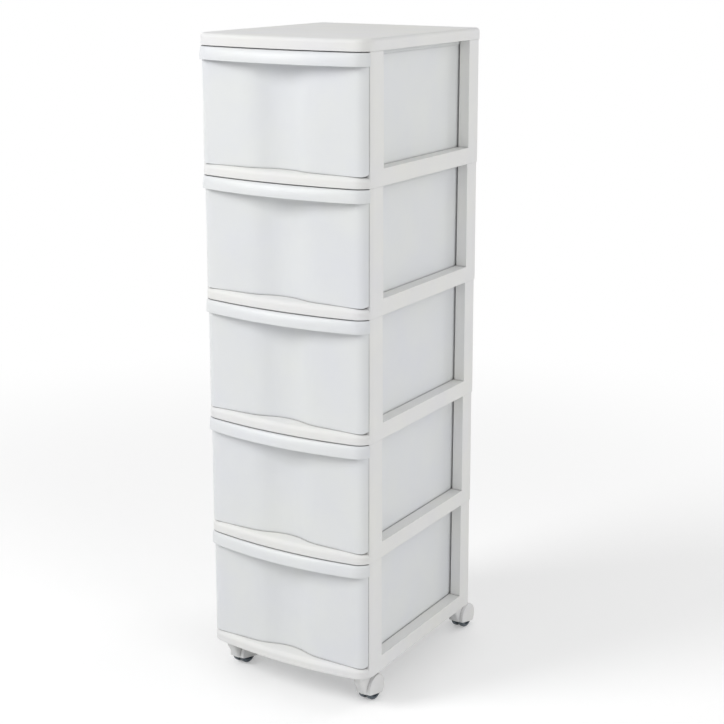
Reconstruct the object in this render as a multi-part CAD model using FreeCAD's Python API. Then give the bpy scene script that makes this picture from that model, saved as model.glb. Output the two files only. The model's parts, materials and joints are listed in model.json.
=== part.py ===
import FreeCAD, Part
import math
import os

os.makedirs("parts", exist_ok=True)

# All sizes are in millimetres. +X is to the right, +Y to the rear and +Z up.
# The floor is z = 0. Within a tier, heights count from the frame's lower edge.

# Tower
tier_count = 5
tier_pitch = 190.0
tower_width = 296.0
tower_depth = 339.2
front_bow = 14.0
front_corner_radius = 26.0
rear_corner_radius = 7.0
skin = 2.4
web = 2.2
rib_count = 3
draft_step = 1.3
overrun = 2.0
match_tolerance = 0.002

# Top cover
lid_height = 17.5
lid_edge_radius = 6.0
lid_rib_height = 12.0

# Tier frame
rail_height = 25.0
deck_height = 16.2
apron_edge_radius = 7.5
apron_depth = 24.6
post_setback = 11.6
front_post_width = 34.0
rear_post_width = 35.6
rear_post_return = 28.0
rear_rail_depth = 11.1
sill_depth = 20.0
runner_width = 18.0
runner_edge_height = 8.0
tongue_length = 17.0
tongue_height = 8.0
tongue_root = 10.0
tongue_gap = 0.3

# Drawer
drawer_wall = 2.2
drawer_seat_gap = 0.3
drawer_side_gap = 1.0
drawer_post_gap = 0.5
drawer_top_gap = 1.4
tub_rear_gap = 4.5
tub_corner_radius = 10.0
tub_floor_radius = 4.0
panel_setback = 0.6
panel_side_inset = 1.4
panel_foot_radius = 10.0
scoop_depth = 11.5
scoop_half_width = 63.0
lip_height = 18.9
lip_reach_middle = 8.0
lip_reach_end = 4.0
lip_side_inset = 0.6
lip_profile_steps = 8
rim_width = 2.3
rim_drop = 5.6
rim_skin = 1.2
tab_width = 6.0
tab_length = 12.0
tab_height = 3.5
tab_setback = 17.0

# Caster
wheel_radius = 20.0
wheel_width = 8.8
wheel_edge_radius = 2.5
wheel_recess_depth = 2.0
wheel_rim = 5.0
hub_radius = 6.0
wheel_side_gap = 0.3
hub_step = 0.6
hood_gap = 0.7
hood_wall = 1.5
hood_web = 2.6
hood_edge_radius = 1.2
cheek_front_drop = 4.5
cheek_rear_drop = 16.0
neck_radius = 7.5
neck_height = 14.0
neck_edge_radius = 4.0
axle_radius = 2.0
axle_end_gap = 0.2
axle_end_wall = 0.6
stem_radius = 4.0
stem_in_hood = 11.7
stem_end_gap = 0.3
stem_top_setback = 0.7
collar_radius = 7.0
collar_height = 1.2
collar_gap = 0.3
swivel_height = 18.0
trail = 32.0
running_gap = 0.05
socket_gap = 0.1
boss_radius = 8.5
ring_height = 1.2
ring_width = 1.55
ring_slit = 1.6
ring_setback = 4.5
ring_play = 0.1
front_stem_inset = 21.6
rear_stem_inset = 9.1
side_stem_inset = 26.0

# Places that follow from the sizes
tower_half = tower_width / 2
half_depth = tower_depth / 2
base_height = 2 * wheel_radius + swivel_height
post_front = post_setback - half_depth
window_front = post_front + front_post_width
window_rear = half_depth - rear_post_width
apron_back = apron_depth - half_depth
guide_x = tower_half - sill_depth
runner_x = guide_x - runner_width
rear_wall = half_depth - rear_rail_depth
drawer_base = deck_height + drawer_seat_gap
drawer_top = tier_pitch - drawer_top_gap
tub_half = guide_x - drawer_side_gap
tub_rear = rear_wall - tub_rear_gap
jamb_x = tub_half + rim_width + drawer_side_gap
panel_front = panel_setback - half_depth
panel_half = tower_half - panel_side_inset
panel_corner_radius = panel_half - tub_half
wing_back = post_front - drawer_post_gap
scoop_turn = 2 * math.atan(scoop_depth / scoop_half_width)
scoop_radius = scoop_half_width / (2 * math.sin(scoop_turn))
tab_front = tub_rear - tab_setback - tab_length
axle_z = wheel_radius
pocket_radius = wheel_radius + hood_gap
hood_radius = pocket_radius + hood_wall
hub_inner = hood_web / 2 + wheel_side_gap
hub_outer = hub_inner + wheel_width + 2 * hub_step
cheek_inner = hub_outer + wheel_side_gap
hood_half = cheek_inner + hood_wall
collar_top = base_height - collar_gap
hood_top = collar_top - collar_height
stem_bottom = hood_top - stem_in_hood
stem_top = base_height + deck_height - stem_top_setback
ring_low = stem_top - ring_setback
ring_inner = stem_radius + socket_gap + socket_gap - ring_width + running_gap
front_stem_y = front_stem_inset - half_depth
rear_stem_y = half_depth - rear_stem_inset
stem_x = tower_half - side_stem_inset
right_angle = math.pi / 2

# The origin is below the middle of the whole tower, casters included
front_reach = lip_side_inset - half_depth - front_bow - lip_reach_middle
rear_reach = rear_stem_y + trail + hood_radius
middle_y = (front_reach + rear_reach) / 2


def vec(x, y, z):
    return FreeCAD.Vector(x, y, z)


def block(x_range, y_range, z_range):
    """A box between a low and a high value along each axis."""
    length = x_range[1] - x_range[0]
    width = y_range[1] - y_range[0]
    height = z_range[1] - z_range[0]
    return Part.makeBox(length, width, height, vec(x_range[0], y_range[0], z_range[0]))


def upright(radius, x, y, z_range):
    """A cylinder along Z."""
    return Part.makeCylinder(radius, z_range[1] - z_range[0], vec(x, y, z_range[0]))


def crosswise(radius, x_range, y, z):
    """A cylinder along X."""
    return Part.makeCylinder(radius, x_range[1] - x_range[0], vec(x_range[0], y, z), vec(1, 0, 0))


def mirrored(shape):
    return shape.mirror(vec(0, 0, 0), vec(1, 0, 0))


def both_sides(shapes):
    return list(shapes) + [mirrored(shape) for shape in shapes]


def joined(shapes):
    return shapes[0].multiFuse(shapes[1:]).removeSplitter()


def slab(wire, height):
    return Part.Face(wire).extrude(vec(0, 0, height))


def close_to(a, b):
    return math.isclose(a, b, abs_tol=match_tolerance)


def rounded_uprights(solid, corners, radius):
    """The solid with its vertical edges at the (x, y) corners rounded."""
    chosen = []
    for edge in solid.Edges:
        ends = [vertex.Point for vertex in edge.Vertexes]
        for x, y in corners:
            if all(close_to(end.x, x) and close_to(end.y, y) for end in ends):
                chosen.append(edge)
    return solid.makeFillet(radius, chosen)


def rounded_at(solid, z, radius, open_y=None):
    """The solid with the edges of its flat face at height z rounded, but not one along open_y."""
    chosen = []
    for edge in solid.Edges:
        ends = [vertex.Point for vertex in edge.Vertexes]
        level = all(close_to(end.z, z) for end in ends)
        open_edge = open_y is not None and all(close_to(end.y, open_y) for end in ends)
        if level and not open_edge:
            chosen.append(edge)
    return solid.makeFillet(radius, chosen)


def bowed_front(front, bow, inset, z):
    """The edges of a bowed front with round corners, from left to right, and their two ends.

    front is the y of the straight line between the corners, and inset moves all inwards."""
    bow_radius = (tower_half**2 + bow**2) / (2 * bow)
    bow_y = front - bow + bow_radius
    corner_x = tower_half - front_corner_radius
    corner_y = bow_y - math.sqrt((bow_radius - front_corner_radius) ** 2 - corner_x**2)
    turn = math.atan2(corner_x, bow_y - corner_y)
    radius = front_corner_radius - inset
    left = []
    right = []
    for angle in (turn, (turn + right_angle) / 2, right_angle):
        x = corner_x + radius * math.sin(angle)
        y = corner_y - radius * math.cos(angle)
        left.append(vec(-x, y, z))
        right.append(vec(x, y, z))
    apex = vec(0, front - bow + inset, z)
    edges = [
        Part.Arc(left[2], left[1], left[0]).toShape(),
        Part.Arc(left[0], apex, right[0]).toShape(),
        Part.Arc(right[0], right[1], right[2]).toShape(),
    ]
    return edges, left[2], right[2]


def tower_wire(inset, z):
    """The tower's outline seen from above, moved inwards by inset."""
    edges, left, right = bowed_front(-half_depth, front_bow, inset, z)
    side = tower_half - inset
    back = half_depth - inset
    radius = rear_corner_radius - inset
    diagonal = radius * math.sin(right_angle / 2)
    arc_x = side - radius
    arc_y = back - radius
    rear_right = [
        vec(side, arc_y, z),
        vec(arc_x + diagonal, arc_y + diagonal, z),
        vec(arc_x, back, z),
    ]
    rear_left = [vec(-point.x, point.y, z) for point in rear_right]
    edges.append(Part.LineSegment(right, rear_right[0]).toShape())
    edges.append(Part.Arc(*rear_right).toShape())
    edges.append(Part.LineSegment(rear_right[2], rear_left[2]).toShape())
    edges.append(Part.Arc(rear_left[2], rear_left[1], rear_left[0]).toShape())
    edges.append(Part.LineSegment(rear_left[0], left).toShape())
    return Part.Wire(edges)


def front_wire(front, bow, inset, z):
    """A bowed front closed by a straight line across the middle of the tower."""
    edges, left, right = bowed_front(front, bow, inset, z)
    right_end = vec(right.x, 0, z)
    left_end = vec(left.x, 0, z)
    edges.append(Part.LineSegment(right, right_end).toShape())
    edges.append(Part.LineSegment(right_end, left_end).toShape())
    edges.append(Part.LineSegment(left_end, left).toShape())
    return Part.Wire(edges)


def before(y):
    """All the space in front of the plane at y."""
    far = tower_width + tower_depth
    return block((-far, far), (-far, y), (-far, far))


def rib_places():
    """The y of each cross rib, evenly spaced between the front and rear walls."""
    pitch = (rear_wall - apron_back) / (rib_count + 1)
    return [apron_back + pitch * (number + 1) for number in range(rib_count)]


def channel_ribs(height):
    """The ribs across the hollow right-hand edge, from the guide wall to the outer skin."""
    x_range = (guide_x, tower_half - skin)
    return [block(x_range, (rib_y, rib_y + web), (0, height)) for rib_y in rib_places()]


# Top cover


def top_cover():
    """A shallow cap with a rounded top edge, guide walls and ribs under it."""
    hollow_height = lid_height - skin
    hollow_edge = lid_edge_radius - skin
    outer = rounded_at(slab(tower_wire(0, 0), lid_height), lid_height, lid_edge_radius)
    hollow = rounded_at(slab(tower_wire(skin, 0), hollow_height), hollow_height, hollow_edge)
    guide = block((guide_x, guide_x + web), (-tower_depth, tower_depth), (0, lid_height))
    across = (-guide_x - web, guide_x + web)
    walls = both_sides([guide] + channel_ribs(lid_height))
    walls.append(block(across, (apron_back - web, apron_back), (0, lid_height)))
    walls.append(block(across, (rear_wall, rear_wall + web), (0, lid_height)))
    for rib_y in rib_places():
        rib_z = (hollow_height - lid_rib_height, hollow_height)
        walls.append(block(across, (rib_y, rib_y + web), rib_z))
    inner = [wall.common(hollow) for wall in walls]
    return joined([outer.cut(hollow)] + inner)


# Tier frame


def frame_skin(filled):
    """The outer skin of the posts and rails, open at the front, the windows and the rear."""
    inner = Part.makeLoft([tower_wire(skin, 0), tower_wire(skin + draft_step, tier_pitch)], True, True)
    above_rail = (rail_height, tier_pitch + overrun)
    window = block((guide_x, tower_width), (window_front, window_rear), above_rail)
    rear_half = tower_half - rear_post_return
    rear_opening = block((-rear_half, rear_half), (0, tower_depth), above_rail)
    return filled.cut([inner, before(post_front), rear_opening] + both_sides([window]))


def apron():
    """The bowed front of the band: a rounded ledge with a rib along its back."""
    outer = slab(front_wire(-half_depth, front_bow, 0, 0), deck_height)
    hollow = slab(front_wire(-half_depth, front_bow, skin, 0), deck_height - web)
    outer = rounded_at(outer, deck_height, apron_edge_radius, 0)
    hollow = rounded_at(hollow, deck_height - web, apron_edge_radius - skin, 0)
    return outer.common(before(apron_back)).cut(hollow.common(before(apron_back - web)))


def post_webs():
    """The flanges of the two right-hand posts, which make each post a channel."""
    to_skin = (jamb_x, tower_width)
    full = (0, tier_pitch)
    return [
        block(to_skin, (post_front, post_front + skin), full),
        block(to_skin, (window_front - skin, window_front), full),
        block(to_skin, (window_rear, window_rear + skin), full),
    ]


def rail_webs():
    """The sill, guide wall and runner of the right-hand rail, and the rear rail."""
    along = (apron_back - web, rear_wall + web)
    across = (-guide_x - web, guide_x + web)
    sill_z = (rail_height - web, rail_height)
    runner_z = (deck_height - web, deck_height)
    edge_z = (deck_height - runner_edge_height, deck_height)
    side = [
        block((guide_x, tower_width), (post_front, tower_depth), sill_z),
        block((guide_x, guide_x + web), along, (0, rail_height)),
        block((runner_x, guide_x + web), along, runner_z),
        block((runner_x, runner_x + web), along, edge_z),
    ] + channel_ribs(rail_height)
    rear = [
        block(across, (rear_wall, tower_depth), sill_z),
        block(across, (rear_wall, rear_wall + web), (0, rail_height)),
    ]
    return side, rear


def tongues():
    """The tongues of the two right-hand posts, which plug into what stands on them."""
    outer = tower_half - skin - tongue_gap
    x_range = (outer - web, outer)
    z_range = (tier_pitch - tongue_root, tier_pitch + tongue_height)
    front = block(x_range, (window_front - tongue_length, window_front - skin), z_range)
    rear = block(x_range, (window_rear + skin, window_rear + tongue_length), z_range)
    return [front, rear]


def tier_frame():
    """One tier's frame: a ring with four posts, made in one piece."""
    band = slab(tower_wire(0, 0), deck_height)
    leaning = [tower_wire(0, deck_height), tower_wire(draft_step, tier_pitch)]
    filled = band.fuse(Part.makeLoft(leaning, True, True))
    side_rail, rear_rail = rail_webs()
    webs = both_sides(post_webs() + side_rail) + rear_rail
    inner = [shape.common(filled) for shape in webs]
    return joined([frame_skin(filled), apron()] + inner + both_sides(tongues()))


def stem_places():
    """Where the four stems stand: a name, and the x and y of each."""
    places = []
    for end, y in (("front", front_stem_y), ("rear", rear_stem_y)):
        places.append((end + "_left", -stem_x, y))
        places.append((end + "_right", stem_x, y))
    return places


def base_frame():
    """The lowest tier's frame, with a socket for a caster stem in each corner."""
    socket_radius = stem_radius + socket_gap
    groove_radius = socket_radius + 2 * socket_gap + ring_width / 2
    groove_low = ring_low - base_height - ring_play
    groove_z = (groove_low, groove_low + ring_height + 2 * ring_play)
    bosses = []
    bores = []
    for _, x, y in stem_places():
        bosses.append(upright(boss_radius, x, y, (0, deck_height)))
        bores.append(upright(socket_radius, x, y, (-overrun, deck_height + overrun)))
        bores.append(upright(groove_radius, x, y, groove_z))
    return joined([tier_frame()] + bosses).cut(bores)


# Drawer


def tub_wire(inset, z):
    """The tub seen from above, with the finger scoop in its front, moved inwards by inset."""
    side = tub_half - inset
    front = panel_front + inset
    back = tub_rear - inset
    shoulder = scoop_radius - inset
    hollow = scoop_radius + inset
    shoulder_y = panel_front + scoop_radius
    hollow_y = panel_front + scoop_depth - scoop_radius
    half_turn = scoop_turn / 2
    start = vec(scoop_half_width, front, z)
    bend_x = scoop_half_width - shoulder * math.sin(half_turn)
    bend = vec(bend_x, shoulder_y - shoulder * math.cos(half_turn), z)
    meet = vec(hollow * math.sin(scoop_turn), hollow_y + hollow * math.cos(scoop_turn), z)
    deepest = vec(0, hollow_y + hollow, z)
    left_start, left_bend, left_meet = [vec(-p.x, p.y, z) for p in (start, bend, meet)]
    front_right = vec(side, front, z)
    front_left = vec(-side, front, z)
    back_right = vec(side, back, z)
    back_left = vec(-side, back, z)
    edges = [
        Part.LineSegment(front_left, left_start).toShape(),
        Part.Arc(left_start, left_bend, left_meet).toShape(),
        Part.Arc(left_meet, deepest, meet).toShape(),
        Part.Arc(meet, bend, start).toShape(),
        Part.LineSegment(start, front_right).toShape(),
        Part.LineSegment(front_right, back_right).toShape(),
        Part.LineSegment(back_right, back_left).toShape(),
        Part.LineSegment(back_left, front_left).toShape(),
    ]
    return Part.Wire(edges)


def tub_outside():
    solid = slab(tub_wire(0, drawer_base), drawer_top - drawer_base)
    rear_corners = [(-tub_half, tub_rear), (tub_half, tub_rear)]
    return rounded_uprights(solid, rear_corners, tub_corner_radius + drawer_wall)


def tub_cavity():
    floor = drawer_base + drawer_wall
    side = tub_half - drawer_wall
    front = panel_front + drawer_wall
    back = tub_rear - drawer_wall
    solid = slab(tub_wire(drawer_wall, floor), tier_pitch - floor)
    corners = [(-side, front), (side, front), (-side, back), (side, back)]
    return rounded_at(rounded_uprights(solid, corners, tub_corner_radius), floor, tub_floor_radius)


def wing_block(inset, back):
    """The right end of the front panel as a solid block, rounded at its corner and its foot."""
    side = panel_half - inset
    front = panel_front + inset
    foot = drawer_base + inset
    top = drawer_top - inset
    start = tub_half - drawer_wall
    corner = block((start - panel_corner_radius, side), (front, 0), (foot, top))
    corner = rounded_uprights(corner, [(side, front)], panel_corner_radius - inset)
    foot_radius = panel_foot_radius - inset
    lower = block((start, side - foot_radius), (front, back), (foot, top))
    upper = block((start, side), (front, back), (foot + foot_radius, top))
    turn = Part.makeCylinder(
        foot_radius, back - front, vec(side - foot_radius, front, foot + foot_radius), vec(0, 1, 0)
    )
    return corner.common(joined([lower, upper, turn]))


def wing():
    """The right end of the front panel, hollow behind, which covers the post."""
    return wing_block(0, wing_back).cut(wing_block(drawer_wall, wing_back + overrun))


def lip_wire(share, inset, z):
    """The pull lip seen from above, at a share of its full reach."""
    front = -half_depth - lip_reach_end * share
    bow = front_bow + (lip_reach_middle - lip_reach_end) * share
    return front_wire(front, bow, inset, z)


def lip():
    """The bowed pull lip: a quarter round from the frame above to its edge, open below."""
    low = drawer_top - lip_height
    outer_wires = []
    inner_wires = []
    for step in range(lip_profile_steps + 1):
        angle = right_angle * step / lip_profile_steps
        reach_share = math.cos(angle)
        rise_share = math.sin(angle)
        outer_wires.append(lip_wire(reach_share, lip_side_inset, low + lip_height * rise_share))
        inner_z = low - overrun + (lip_height + overrun - drawer_wall) * rise_share
        inner_wires.append(lip_wire(reach_share, lip_side_inset + drawer_wall, inner_z))
    outer = Part.makeLoft(outer_wires, True, True)
    inner = Part.makeLoft(inner_wires, True, True)
    return outer.cut(inner).common(before(wing_back))


def rim():
    """The turned-down rim round the sides and back of the tub."""
    side = tub_half + rim_width
    back = tub_rear + rim_width
    front = panel_front + drawer_wall
    corner = tub_corner_radius + drawer_wall + rim_width
    outer = block((-side, side), (front, back), (drawer_top - rim_drop, drawer_top))
    outer = rounded_uprights(outer, [(-side, back), (side, back)], corner)
    side -= rim_skin
    back -= rim_skin
    under = (drawer_top - rim_drop - overrun, drawer_top - web)
    hollow = block((-side, side), (front - overrun, back), under)
    hollow = rounded_uprights(hollow, [(-side, back), (side, back)], corner - rim_skin)
    return outer.cut(hollow)


def stop_tab():
    """The right-hand tab that stops the drawer when it is pulled out."""
    x_range = (tub_half - tab_width, tub_half)
    y_range = (tab_front, tab_front + tab_length)
    return block(x_range, y_range, (drawer_top - rim_drop, drawer_top + tab_height))


def drawer():
    """One drawer in one piece: the tub, the front panel, the pull lip and the rim."""
    wings = both_sides([wing()])
    body = joined([tub_outside(), rim(), lip()] + wings).cut(tub_cavity())
    return joined([body] + both_sides([stop_tab()]))


# Caster, with its stem on the Z axis and its wheels trailing towards the rear


def stem():
    """The steel stem with its collar and the groove of the grip ring."""
    shaft = upright(stem_radius, 0, 0, (stem_bottom, stem_top))
    collar = upright(collar_radius, 0, 0, (hood_top, collar_top))
    groove_z = (ring_low - ring_play, ring_low + ring_height + ring_play)
    around = upright(collar_radius, 0, 0, groove_z)
    core = upright(ring_inner - running_gap, 0, 0, groove_z)
    return joined([shaft, collar]).cut(around.cut(core))


def grip_ring():
    """The slit spring ring that holds the stem in its socket."""
    z_range = (ring_low, ring_low + ring_height)
    ring = upright(ring_inner + ring_width, 0, 0, z_range)
    bore = upright(ring_inner, 0, 0, z_range)
    slit = block((-ring_slit / 2, ring_slit / 2), (0, collar_radius), z_range)
    return ring.cut([bore, slit])


def shell_touch(y, z, side):
    """Where a line from (y, z) touches the hood's round shell, on one side of the axle or the other."""
    rise = math.atan2(z - axle_z, y - trail)
    angle = rise + side * math.acos(hood_radius / math.hypot(y - trail, z - axle_z))
    return trail + hood_radius * math.cos(angle), axle_z + hood_radius * math.sin(angle)


def neck():
    """The hood's neck round the stem, whose flat front and top run into the round shell."""
    foot = hood_top - neck_height
    front = shell_touch(-neck_radius, foot, 1)
    back = shell_touch(neck_radius, hood_top, -1)
    top = [(neck_radius, hood_top), (-neck_radius, hood_top)]
    side = top + [(-neck_radius, foot), front, (trail, axle_z), back]
    points = [vec(-neck_radius, y, z) for y, z in side + side[:1]]
    solid = Part.Face(Part.makePolygon(points)).extrude(vec(2 * neck_radius, 0, 0))
    chosen = []
    for edge in solid.Edges:
        ends = [vertex.Point for vertex in edge.Vertexes]
        forward = all(end.y < front[0] + match_tolerance for end in ends)
        on_top = all(close_to(end.z, hood_top) for end in ends)
        if forward and not on_top and close_to(ends[0].x, ends[1].x):
            chosen.append(edge)
    return solid.makeFillet(neck_edge_radius, chosen)


def below_cheeks():
    """The space under the hood, whose top slopes down from the cheeks' front to their rear."""
    reach = trail + hood_radius
    front = (trail - hood_radius, axle_z - cheek_front_drop)
    rear = (trail + hood_radius, axle_z - cheek_rear_drop)
    side = [front, rear, (rear[0], -reach), (front[0] - reach, -reach), (front[0] - reach, front[1])]
    points = [vec(-reach, y, z) for y, z in side + side[:1]]
    return Part.Face(Part.makePolygon(points)).extrude(vec(2 * reach, 0, 0))


def hood():
    """The hood: a round shell with two cheeks, a middle web that carries the axle, and a neck."""
    x_range = (-hood_half, hood_half)
    outer = crosswise(hood_radius, x_range, trail, axle_z)
    outer = outer.makeFillet(hood_edge_radius, outer.Edges)
    pocket = crosswise(pocket_radius, (hood_web / 2, cheek_inner), trail, axle_z)
    axle_bore_half = hood_half - axle_end_wall
    axle_bore = crosswise(
        axle_radius + running_gap, (-axle_bore_half, axle_bore_half), trail, axle_z
    )
    stem_bore = upright(
        stem_radius + running_gap, 0, 0, (stem_bottom - stem_end_gap, hood_top + overrun)
    )
    cuts = both_sides([pocket]) + [axle_bore, stem_bore, below_cheeks()]
    return joined([outer, neck()]).cut(cuts)


def axle():
    half = hood_half - axle_end_wall - axle_end_gap
    return crosswise(axle_radius, (-half, half), trail, axle_z)


def wheel():
    """The right-hand wheel of the pair, with recessed faces and a raised hub."""
    inner = hub_inner + hub_step
    outer = inner + wheel_width
    tyre = crosswise(wheel_radius, (inner, outer), trail, axle_z)
    tyre = tyre.makeFillet(wheel_edge_radius, tyre.Edges)
    recess_radius = wheel_radius - wheel_rim
    cuts = []
    for x_range in ((inner, inner + wheel_recess_depth), (outer - wheel_recess_depth, outer)):
        dish = crosswise(recess_radius, x_range, trail, axle_z)
        cuts.append(dish.cut(crosswise(hub_radius, x_range, trail, axle_z)))
    hub = crosswise(hub_radius, (hub_inner, hub_outer), trail, axle_z)
    bore = crosswise(axle_radius + socket_gap, (hub_inner, hub_outer), trail, axle_z)
    return joined([tyre.cut(cuts), hub]).cut(bore)


def save(name, shape, x, y, z):
    """Write a copy of the shape, moved to its place, as a node of the tower."""
    placed = shape.copy()
    placed.translate(vec(x, y - middle_y, z))
    placed.exportStep("parts/" + name + ".step")


def tier_height(number):
    """The height of a tier's lower edge; tier 1 is the top one."""
    return base_height + tier_pitch * (tier_count - number)


def save_tiers():
    frame = tier_frame()
    tub = drawer()
    for number in range(1, tier_count + 1):
        height = tier_height(number)
        save("drawer_" + str(number), tub, 0, 0, height)
        if number < tier_count:
            save("tier_frame_" + str(number), frame, 0, 0, height)
    save("base_frame", base_frame(), 0, 0, base_height)
    save("top_cover", top_cover(), 0, 0, tier_height(0))


def save_casters():
    right_wheel = wheel()
    left_wheel = mirrored(right_wheel)
    pieces = {"stem": stem(), "grip_ring": grip_ring(), "hood": hood(), "axle": axle()}
    for corner, x, y in stem_places():
        outward = [left_wheel, right_wheel] if x > 0 else [right_wheel, left_wheel]
        for name, shape in pieces.items():
            save(corner + "_" + name, shape, x, y, 0)
        save(corner + "_wheel_inner", outward[0], x, y, 0)
        save(corner + "_wheel_outer", outward[1], x, y, 0)


save_tiers()
save_casters()
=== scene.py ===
import json
import math

import bpy
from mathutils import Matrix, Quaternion, Vector

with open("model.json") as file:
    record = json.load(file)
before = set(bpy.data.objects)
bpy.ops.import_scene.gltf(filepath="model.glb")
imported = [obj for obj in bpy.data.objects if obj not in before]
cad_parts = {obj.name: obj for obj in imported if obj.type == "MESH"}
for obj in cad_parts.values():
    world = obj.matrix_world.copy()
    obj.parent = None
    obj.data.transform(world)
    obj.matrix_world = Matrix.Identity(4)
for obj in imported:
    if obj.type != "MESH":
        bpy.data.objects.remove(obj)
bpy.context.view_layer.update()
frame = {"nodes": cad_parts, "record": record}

# All sizes are in metres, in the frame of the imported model: +Z up, the drawers open towards -Y.

nodes = frame["nodes"]

# Camera: the photograph's viewing angle. It stands to the right of the front and above the top.
camera_place = Vector((1.2435, -1.9811, 1.1568))
camera_target = Vector((0.0242, 0.0064, 0.505))
camera_roll = math.radians(0.027)
camera_lens = 75.2

# Light: soft light from all round, and three large round lamps that look at the middle of the tower
white = (1.0, 1.0, 1.0, 1.0)
world_strength = 0.44
seen_white = 1.0
key_place = Vector((-1.5, -2.1, 2.2))
key_size = 1.4
key_power = 48.0
fill_place = Vector((2.6, -0.9, 1.3))
fill_size = 1.8
fill_power = 19.0
rear_place = Vector((1.5, 2.3, 1.7))
rear_size = 1.6
rear_power = 14.0
light_target = Vector((0, 0, 0.5))

# Floor: pale near the tower, where it takes the shadow, and white further off. The shade is its
# colour, and the lift is a little light of its own that only direct rays see.
floor_half = 40.0
floor_shade = 0.82
floor_lift = 0.30
floor_near = 0.7
floor_far = 2.0

# Colours of the plastics and of the metal
frame_white = (0.82, 0.82, 0.81)
drawer_white = (0.775, 0.79, 0.80)
hood_white = (0.80, 0.80, 0.79)
wheel_slate = (0.055, 0.075, 0.095)
zinc = (0.58, 0.58, 0.56)

# Noise: most of its values lie between these two. A noise's scale is about its grains to a metre.
noise_low = 0.3
noise_high = 0.7
noise_detail = 3.0
plain_detail = 1.0

# Mottling of the plastics: patches that take up to 3% of the red and green away, and wider ones
# that take as much of the blue
patch_scale = 14.0
warm_scale = 5.0
patch_shade = 0.97

# Gloss of the plastics: dull and shiny patches
gloss_scale = 60.0
gloss_spread = 0.05

# Edges of the plastics, polished by use: their share of the roughness, and how far the soft
# normal leaves the surface's own, as a cosine, where the polish is full and where it ends
edge_roughness = 0.75
edge_turned = 0.85
edge_level = 0.99
edge_samples = 4

# Skin of the plastics: shallow sink marks, and over them the grain of the mould
sink_scale = 12.0
sink_depth = 0.0004
sink_strength = 0.2
grain_strength = 0.4

# Painted shade in each seam, by ambient occlusion: how far round a place the walls count, and how
# open a place is, from 0 to 1, where the painted shade is full and where it ends
seam_depth = 0.006
seam_samples = 6
seam_closed = 0.15
seam_open = 0.75

# Zinc plate: how far it darkens, and its roughness from the shiniest to the dullest grain
zinc_shade = 0.8
zinc_scale = 400.0
zinc_gloss_scale = 900.0
zinc_shiny = 0.25
zinc_dull = 0.4


def aim(thing, place, target, roll=0.0):
    """Put a lamp or camera at a place, so that it looks at the target."""
    thing.location = place
    thing.rotation_mode = "QUATERNION"
    turned = (target - place).to_track_quat("-Z", "Y")
    thing.rotation_quaternion = turned @ Quaternion((0, 0, 1), roll)


def link(thing):
    """Bring an object into the scene."""
    bpy.context.scene.collection.objects.link(thing)
    return thing


def add_camera():
    """The camera, at the photograph's viewing angle."""
    data = bpy.data.cameras.new("camera")
    data.lens = camera_lens
    camera = link(bpy.data.objects.new("camera", data))
    aim(camera, camera_place, camera_target, camera_roll)
    bpy.context.scene.camera = camera


def add_lamp(name, place, size, power):
    """A round studio lamp that looks at the middle of the tower."""
    data = bpy.data.lights.new(name, "AREA")
    data.shape = "DISK"
    data.size = size
    data.energy = power
    aim(link(bpy.data.objects.new(name, data)), place, light_target)


def larger(tree, first, second):
    """The larger of two sockets."""
    choice = tree.nodes.new("ShaderNodeMath")
    choice.operation = "MAXIMUM"
    tree.links.new(first, choice.inputs[0])
    tree.links.new(second, choice.inputs[1])
    return choice.outputs[0]


def times(tree, first, second):
    """The product of two sockets, or of a socket and a number."""
    product = tree.nodes.new("ShaderNodeMath")
    product.operation = "MULTIPLY"
    tree.links.new(first, product.inputs[0])
    if isinstance(second, float):
        product.inputs[1].default_value = second
    else:
        tree.links.new(second, product.inputs[1])
    return product.outputs[0]


def direct_rays(tree):
    """A socket that is 1 for camera, glossy and transmission rays."""
    path = tree.nodes.new("ShaderNodeLightPath").outputs
    seen = larger(tree, path["Is Camera Ray"], path["Is Glossy Ray"])
    return larger(tree, seen, path["Is Transmission Ray"])


def add_world():
    """Plain studio light from all round, which the camera and reflections see as white."""
    world = bpy.data.worlds.new("studio")
    bpy.context.scene.world = world
    world.use_nodes = True
    tree = world.node_tree
    tree.nodes.clear()
    lit = tree.nodes.new("ShaderNodeBackground")
    lit.inputs["Color"].default_value = white
    lit.inputs["Strength"].default_value = world_strength
    seen = tree.nodes.new("ShaderNodeBackground")
    seen.inputs["Color"].default_value = white
    seen.inputs["Strength"].default_value = seen_white
    mix = tree.nodes.new("ShaderNodeMixShader")
    output = tree.nodes.new("ShaderNodeOutputWorld")
    tree.links.new(direct_rays(tree), mix.inputs["Fac"])
    tree.links.new(lit.outputs[0], mix.inputs[1])
    tree.links.new(seen.outputs[0], mix.inputs[2])
    tree.links.new(mix.outputs[0], output.inputs["Surface"])


def floor_distance(tree):
    """A socket that rises from 0 near the tower to 1 further off on the floor."""
    place = tree.nodes.new("ShaderNodeNewGeometry")
    length = tree.nodes.new("ShaderNodeVectorMath")
    length.operation = "LENGTH"
    spread = tree.nodes.new("ShaderNodeMapRange")
    spread.interpolation_type = "SMOOTHSTEP"
    spread.inputs["From Min"].default_value = floor_near
    spread.inputs["From Max"].default_value = floor_far
    tree.links.new(place.outputs["Position"], length.inputs[0])
    tree.links.new(length.outputs["Value"], spread.inputs["Value"])
    return spread.outputs["Result"]


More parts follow.
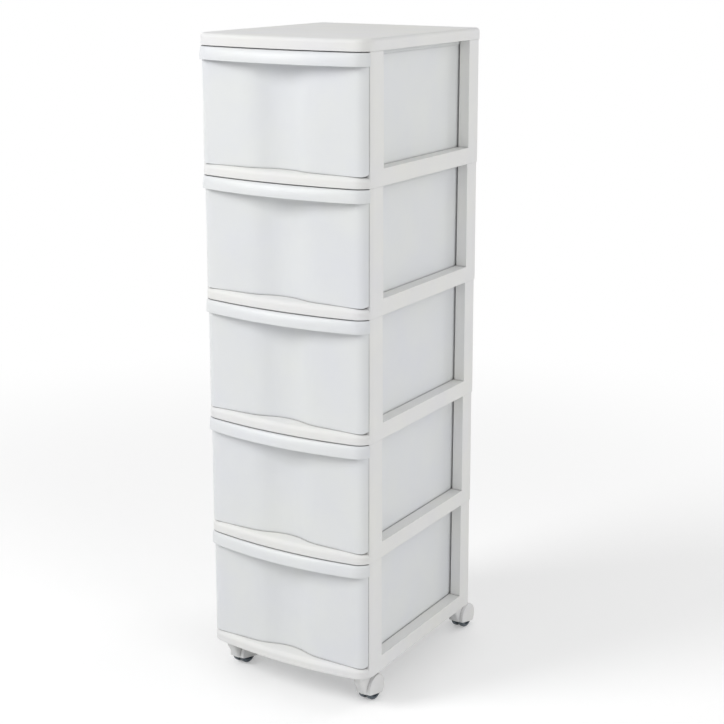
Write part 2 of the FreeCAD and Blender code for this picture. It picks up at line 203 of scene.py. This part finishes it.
def floor_finish():
    """A pale matt floor that takes the shadow, and that direct rays see as white further off."""
    material = bpy.data.materials.new("floor")
    material.use_nodes = True
    tree = material.node_tree
    tree.nodes.clear()
    matt = tree.nodes.new("ShaderNodeBsdfDiffuse")
    matt.inputs["Color"].default_value = (floor_shade, floor_shade, floor_shade, 1.0)
    lift = tree.nodes.new("ShaderNodeEmission")
    far = tree.nodes.new("ShaderNodeEmission")
    far.inputs["Strength"].default_value = seen_white
    near = tree.nodes.new("ShaderNodeAddShader")
    both = tree.nodes.new("ShaderNodeMixShader")
    output = tree.nodes.new("ShaderNodeOutputMaterial")
    direct = direct_rays(tree)
    tree.links.new(times(tree, direct, floor_lift), lift.inputs["Strength"])
    tree.links.new(matt.outputs[0], near.inputs[0])
    tree.links.new(lift.outputs[0], near.inputs[1])
    tree.links.new(times(tree, direct, floor_distance(tree)), both.inputs["Fac"])
    tree.links.new(near.outputs[0], both.inputs[1])
    tree.links.new(far.outputs[0], both.inputs[2])
    tree.links.new(both.outputs[0], output.inputs["Surface"])
    return material


def add_floor():
    """A plain square floor under the tower."""
    mesh = bpy.data.meshes.new("floor")
    corners = [(x, y, 0) for x, y in ((-1, -1), (1, -1), (1, 1), (-1, 1))]
    mesh.from_pydata([Vector(corner) * floor_half for corner in corners], [], [(0, 1, 2, 3)])
    mesh.materials.append(floor_finish())
    link(bpy.data.objects.new("floor", mesh))


def noise(tree, scale, detail=noise_detail):
    """A noise in the part's own coordinates, with about scale grains to a metre."""
    place = tree.nodes.new("ShaderNodeTexCoord")
    texture = tree.nodes.new("ShaderNodeTexNoise")
    texture.inputs["Scale"].default_value = scale
    texture.inputs["Detail"].default_value = detail
    tree.links.new(place.outputs["Object"], texture.inputs["Vector"])
    return texture.outputs["Fac"]


def between(tree, factor, low, high, start=noise_low, end=noise_high):
    """A socket's value, spread from low to high as it goes from start to end."""
    spread = tree.nodes.new("ShaderNodeMapRange")
    spread.inputs["From Min"].default_value = start
    spread.inputs["From Max"].default_value = end
    spread.inputs["To Min"].default_value = low
    spread.inputs["To Max"].default_value = high
    tree.links.new(factor, spread.inputs["Value"])
    return spread.outputs["Result"]


def colour_of(tree, red, green, blue):
    """A colour socket made of three sockets."""
    tone = tree.nodes.new("ShaderNodeCombineColor")
    tree.links.new(red, tone.inputs["Red"])
    tree.links.new(green, tone.inputs["Green"])
    tree.links.new(blue, tone.inputs["Blue"])
    return tone.outputs[0]


def tinted(tree, first, second):
    """The product of two colour sockets, or of a plain colour and a socket."""
    mix = tree.nodes.new("ShaderNodeMix")
    mix.data_type = "RGBA"
    mix.blend_type = "MULTIPLY"
    mix.inputs["Factor"].default_value = 1.0
    if isinstance(first, tuple):
        mix.inputs["A"].default_value = (*first, 1.0)
    else:
        tree.links.new(first, mix.inputs["A"])
    tree.links.new(second, mix.inputs["B"])
    return mix.outputs["Result"]


def mottled(tree, colour):
    """A plain colour with faint patches."""
    cloud = between(tree, noise(tree, patch_scale), patch_shade, 1.0)
    warm = between(tree, noise(tree, warm_scale), patch_shade, 1.0)
    return tinted(tree, colour, colour_of(tree, cloud, cloud, warm))


def painted_seam_shade(tree, seam_darkest):
    """Painted shade: a grey that falls from white to the given darkest grey inside each seam and
    corner, by ambient occlusion.
    """
    shade = tree.nodes.new("ShaderNodeAmbientOcclusion")
    shade.samples = seam_samples
    shade.inputs["Distance"].default_value = seam_depth
    # Ambient occlusion paints shade into the colour: the more closed a place, the darker its grey
    seam_grey = between(tree, shade.outputs["AO"], seam_darkest, 1.0, seam_closed, seam_open)
    return colour_of(tree, seam_grey, seam_grey, seam_grey)


def soft_edge(tree, radius):
    """A normal that turns smoothly round the edges."""
    edge = tree.nodes.new("ShaderNodeBevel")
    edge.samples = edge_samples
    edge.inputs["Radius"].default_value = radius
    return edge.outputs[0]


def polish(tree, normal):
    """The share of the roughness that is left: 1 on flat places, and less towards an edge."""
    surface = tree.nodes.new("ShaderNodeNewGeometry")
    turn = tree.nodes.new("ShaderNodeVectorMath")
    turn.operation = "DOT_PRODUCT"
    tree.links.new(normal, turn.inputs[0])
    tree.links.new(surface.outputs["Normal"], turn.inputs[1])
    return between(tree, turn.outputs["Value"], edge_roughness, 1.0, edge_turned, edge_level)


def raised(tree, height, strength, depth, normal):
    """A normal with the bumps of a height socket added to it."""
    bump = tree.nodes.new("ShaderNodeBump")
    bump.inputs["Strength"].default_value = strength
    bump.inputs["Distance"].default_value = depth
    tree.links.new(height, bump.inputs["Height"])
    tree.links.new(normal, bump.inputs["Normal"])
    return bump.outputs[0]


def moulded(name, colour, roughness, grain_scale, grain_depth, seam_darkest, edge):
    """Moulded plastic: mottled colour, painted shade in each seam down to a given darkest grey,
    polished edges, faint sink marks and fine grain.
    """
    material = bpy.data.materials.new(name)
    material.use_nodes = True
    tree = material.node_tree
    shader = tree.nodes["Principled BSDF"]
    # Base colour: the mottled colour, darkened by painted shade in each seam and corner
    tree.links.new(tinted(tree, mottled(tree, colour), painted_seam_shade(tree, seam_darkest)), shader.inputs["Base Color"])
    rough = between(tree, noise(tree, gloss_scale), roughness - gloss_spread, roughness + gloss_spread)
    normal = soft_edge(tree, edge)
    tree.links.new(times(tree, rough, polish(tree, normal)), shader.inputs["Roughness"])
    sunk = raised(tree, noise(tree, sink_scale, plain_detail), sink_strength, sink_depth, normal)
    grained = raised(tree, noise(tree, grain_scale), grain_strength, grain_depth, sunk)
    tree.links.new(grained, shader.inputs["Normal"])
    return material


# The finishes. Each one gives the darkest grey of its painted seam shade.
def frame_plastic():
    """The white polypropylene of the frames and the lid, the dullest, with the deepest grain."""
    return moulded(
        "frame_white", frame_white, roughness=0.62, grain_scale=1500.0, grain_depth=0.00006,
        seam_darkest=0.25, edge=0.0006,
    )


def drawer_plastic():
    """The milky white polypropylene of the drawers, with a soft sheen."""
    return moulded(
        "drawer_white", drawer_white, roughness=0.42, grain_scale=900.0, grain_depth=0.00002,
        seam_darkest=0.25, edge=0.0005,
    )


def hood_plastic():
    """The white nylon of the caster hoods, the glossiest."""
    return moulded(
        "hood_white", hood_white, roughness=0.34, grain_scale=1200.0, grain_depth=0.00003,
        seam_darkest=0.35, edge=0.0004,
    )


def wheel_plastic():
    """The slate grey nylon of the caster wheels."""
    return moulded(
        "wheel_slate", wheel_slate, roughness=0.38, grain_scale=1400.0, grain_depth=0.00004,
        seam_darkest=0.5, edge=0.0004,
    )


def zinc_plate():
    """Bright zinc plate with a fine grain."""
    material = bpy.data.materials.new("zinc_plate")
    material.use_nodes = True
    tree = material.node_tree
    shader = tree.nodes["Principled BSDF"]
    shader.inputs["Metallic"].default_value = 1.0
    shade = tree.nodes.new("ShaderNodeMix")
    shade.data_type = "RGBA"
    shade.inputs["A"].default_value = (*zinc, 1.0)
    shade.inputs["B"].default_value = (*[channel * zinc_shade for channel in zinc], 1.0)
    tree.links.new(noise(tree, zinc_scale), shade.inputs["Factor"])
    tree.links.new(shade.outputs["Result"], shader.inputs["Base Color"])
    rough = between(tree, noise(tree, zinc_gloss_scale), zinc_shiny, zinc_dull)
    tree.links.new(rough, shader.inputs["Roughness"])
    return material


def dress():
    """Give every CAD node the finish of its material slot."""
    finishes = {
        "frame_plastic": frame_plastic(),
        "drawer_plastic": drawer_plastic(),
        "hood_plastic": hood_plastic(),
        "wheel_plastic": wheel_plastic(),
        "steel": zinc_plate(),
    }
    for row in frame["record"]["subparts"]:
        for place in nodes[row["node"]].material_slots:
            place.material = finishes[row["material_slot"]]


add_camera()
add_world()
add_lamp("key", key_place, key_size, key_power)
add_lamp("fill", fill_place, fill_size, fill_power)
add_lamp("rear", rear_place, rear_size, rear_power)
add_floor()
dress()
bpy.context.scene.view_settings.view_transform = "Standard"
